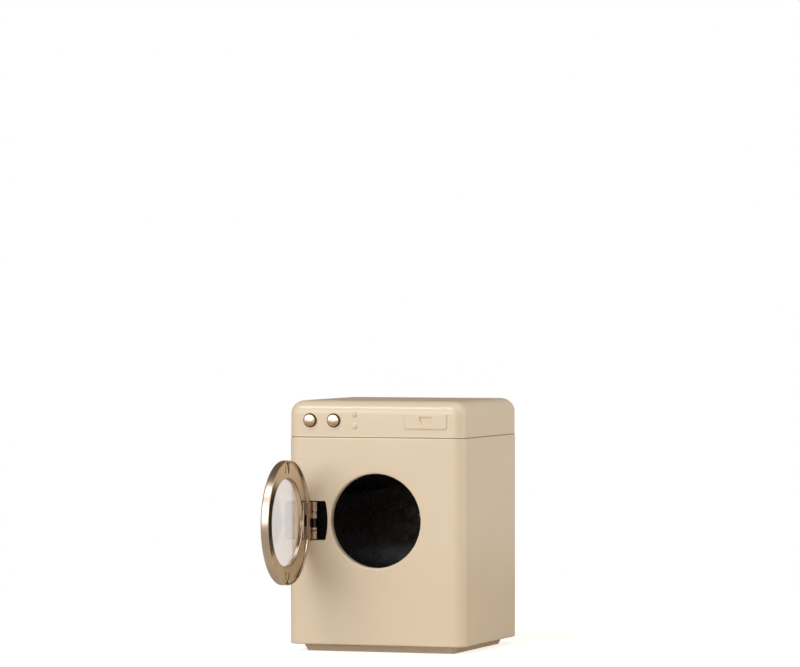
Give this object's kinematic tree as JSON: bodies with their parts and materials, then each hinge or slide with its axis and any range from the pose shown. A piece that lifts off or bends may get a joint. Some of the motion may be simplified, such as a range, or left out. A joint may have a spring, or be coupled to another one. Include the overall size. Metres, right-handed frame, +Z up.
{
  "type": "toy washing machine",
  "caption": "Toy front-loading washing machine: painted tin case with a lift-off lid, round windowed door on a side hinge, turning drum and control knobs.",
  "frame": {"origin": "middle of the plinth's flat underside, below the middle of the case", "axes": "+Z up, the front panel faces -Y, +X to the right as seen from the front"},
  "size_m": [0.096, 0.1585, 0.13],
  "materials": {
    "paint": "gloss",
    "nickel": "satin",
    "bright_metal": "polished",
    "steel": "satin",
    "brass": "satin",
    "black_plastic": "gloss",
    "clear_plastic": "gloss"
  },
  "bodies": {
    "cabinet": {"case_wrap": "paint", "neck_band": "paint", "top_lid": "paint", "rear_panel": "paint", "rear_screws": "steel", "base_pan": "paint", "base_screws": "steel", "front_frame": "black_plastic", "catch_magnet": "steel", "tub_front_ring": "black_plastic", "tub": "black_plastic", "tub_cradle": "black_plastic", "frame_screws": "steel", "drum_bush": "brass", "hinge_fixed_leaf": "nickel", "hinge_screws": "steel", "hinge_pin": "steel"},
    "door": {"hinge_door_leaf": "nickel", "door_shell": "nickel", "door_window": "clear_plastic", "door_inner_ring": "nickel"},
    "drum": {"drum": "black_plastic", "drum_axle": "steel", "drum_washer": "steel", "axle_clip": "steel"},
    "knob_left": {"knob_left": "bright_metal", "knob_left_clip": "steel"},
    "knob_right": {"knob_right": "bright_metal", "knob_right_clip": "steel"}
  },
  "joints": [
    {"name": "door_hinge", "type": "hinge", "parent": "cabinet", "child": "door", "pos_m": [-0.0336, -0.0454, 0.06795], "axis": [0, 0, 1], "range_deg": [-3, 90]},
    {"name": "drum_spin", "type": "hinge", "parent": "cabinet", "child": "drum", "pos_m": [0, 0.03, 0.0681], "axis": [0, 1, 0], "continuous": true},
    {"name": "knob_left_turn", "type": "hinge", "parent": "cabinet", "child": "knob_left", "pos_m": [-0.0357, -0.0465, 0.1198], "axis": [0, 1, 0], "continuous": true},
    {"name": "knob_right_turn", "type": "hinge", "parent": "cabinet", "child": "knob_right", "pos_m": [-0.0228, -0.0465, 0.1198], "axis": [0, 1, 0], "continuous": true}
  ]
}
